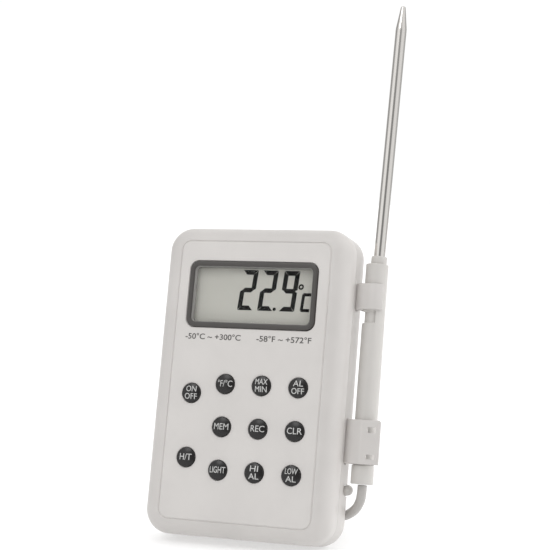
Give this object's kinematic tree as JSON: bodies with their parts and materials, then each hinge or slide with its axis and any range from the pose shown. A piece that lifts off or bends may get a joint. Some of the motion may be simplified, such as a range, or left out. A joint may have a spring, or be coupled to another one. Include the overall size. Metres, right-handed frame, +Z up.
{
  "type": "digital probe thermometer",
  "caption": "Hand-held digital thermometer leaning on a fold-out stand, with a display, round keys and a steel probe held in two side clips.",
  "frame": {"origin": "on the floor, under the middle of the box of the case, probe and open stand", "axes": "+Z up, -Y towards the user, +X to the side that holds the probe; the case leans back from the vertical towards +Y"},
  "size_m": [0.0855, 0.11, 0.1876],
  "materials": {
    "case": "light warm grey satin moulding",
    "panel": "light warm grey printed overlay",
    "bezel": "dark grey, satin",
    "window": "clear acrylic",
    "lcd": "reflective liquid-crystal grey",
    "white_plastic": "white diffuser",
    "dark_rubber": "matt black",
    "board": "green solder mask",
    "epoxy": "black epoxy",
    "key": "black, slightly domed",
    "steel": "polished stainless",
    "brass": "plain",
    "battery": "printed sleeve, no lettering",
    "cord": "grey jacket"
  },
  "bodies": {
    "root": {"front_shell": "case", "rear_shell": "case", "face_panel": "panel", "display_bezel": "bezel", "display_window": "window", "lcd_cell": "lcd", "lcd_holder": "white_plastic", "backlight_plate": "white_plastic", "contact_strip": "dark_rubber", "main_board": "board", "keypad_mat": "dark_rubber", "controller_blob": "epoxy", "crystal": "steel", "piezo_buzzer": "brass", "battery_cradle": "case", "battery": "battery", "positive_contact": "steel", "negative_spring": "steel", "stand_pin": "steel", "cord_gland": "case", "upper_clip": "case", "lower_clip": "case", "cord_from_case": "cord", "cord_coil": "cord", "coil_tie": "dark_rubber", "cord_to_probe": "cord", "case_screw_1": "steel", "case_screw_2": "steel", "case_screw_3": "steel", "case_screw_4": "steel", "board_screw_1": "steel", "board_screw_2": "steel"},
    "probe": {"probe_stem": "steel", "sensor_bead": "brass", "sensor_leads": "dark_rubber", "probe_collar": "case", "probe_handle": "case", "handle_end_cap": "case"},
    "battery_door": {"battery_door": "case"},
    "tilt_stand": {"tilt_stand": "case"},
    "key_units": {"key_units": "key"},
    "key_max_min": {"key_max_min": "key"},
    "key_alarm_off": {"key_alarm_off": "key"},
    "key_memory": {"key_memory": "key"},
    "key_record": {"key_record": "key"},
    "key_clear": {"key_clear": "key"},
    "key_light": {"key_light": "key"},
    "key_high_alarm": {"key_high_alarm": "key"},
    "key_low_alarm": {"key_low_alarm": "key"},
    "key_power": {"key_power": "key"},
    "key_hold": {"key_hold": "key"}
  },
  "joints": [
    {"name": "probe_slide", "type": "slide", "parent": "root", "child": "probe", "axis": [0, 0.2373, 0.9714], "range_m": [0, 0.072]},
    {"name": "battery_door_hinge", "type": "hinge", "parent": "root", "child": "battery_door", "pos_m": [-0.0065, -0.0115, 0.00346], "axis": [-1, 0, 0], "range_deg": [0, 70]},
    {"name": "tilt_stand_hinge", "type": "hinge", "parent": "root", "child": "tilt_stand", "pos_m": [-0.0065, -0.00843, 0.02108], "axis": [1, 0, 0], "range_deg": [0, 108]},
    {"name": "key_units_press", "type": "slide", "parent": "root", "child": "key_units", "axis": [0, 0.9714, -0.2373], "range_m": [0, 0.0008], "stiffness_N_per_m": 300},
    {"name": "key_max_min_press", "type": "slide", "parent": "root", "child": "key_max_min", "axis": [0, 0.9714, -0.2373], "range_m": [0, 0.0008], "stiffness_N_per_m": 300},
    {"name": "key_alarm_off_press", "type": "slide", "parent": "root", "child": "key_alarm_off", "axis": [0, 0.9714, -0.2373], "range_m": [0, 0.0008], "stiffness_N_per_m": 300},
    {"name": "key_memory_press", "type": "slide", "parent": "root", "child": "key_memory", "axis": [0, 0.9714, -0.2373], "range_m": [0, 0.0008], "stiffness_N_per_m": 300},
    {"name": "key_record_press", "type": "slide", "parent": "root", "child": "key_record", "axis": [0, 0.9714, -0.2373], "range_m": [0, 0.0008], "stiffness_N_per_m": 300},
    {"name": "key_clear_press", "type": "slide", "parent": "root", "child": "key_clear", "axis": [0, 0.9714, -0.2373], "range_m": [0, 0.0008], "stiffness_N_per_m": 300},
    {"name": "key_light_press", "type": "slide", "parent": "root", "child": "key_light", "axis": [0, 0.9714, -0.2373], "range_m": [0, 0.0008], "stiffness_N_per_m": 300},
    {"name": "key_high_alarm_press", "type": "slide", "parent": "root", "child": "key_high_alarm", "axis": [0, 0.9714, -0.2373], "range_m": [0, 0.0008], "stiffness_N_per_m": 300},
    {"name": "key_low_alarm_press", "type": "slide", "parent": "root", "child": "key_low_alarm", "axis": [0, 0.9714, -0.2373], "range_m": [0, 0.0008], "stiffness_N_per_m": 300},
    {"name": "key_power_press", "type": "slide", "parent": "root", "child": "key_power", "axis": [0, 0.9714, -0.2373], "range_m": [0, 0.0008], "stiffness_N_per_m": 300},
    {"name": "key_hold_press", "type": "slide", "parent": "root", "child": "key_hold", "axis": [0, 0.9714, -0.2373], "range_m": [0, 0.0008], "stiffness_N_per_m": 300}
  ]
}
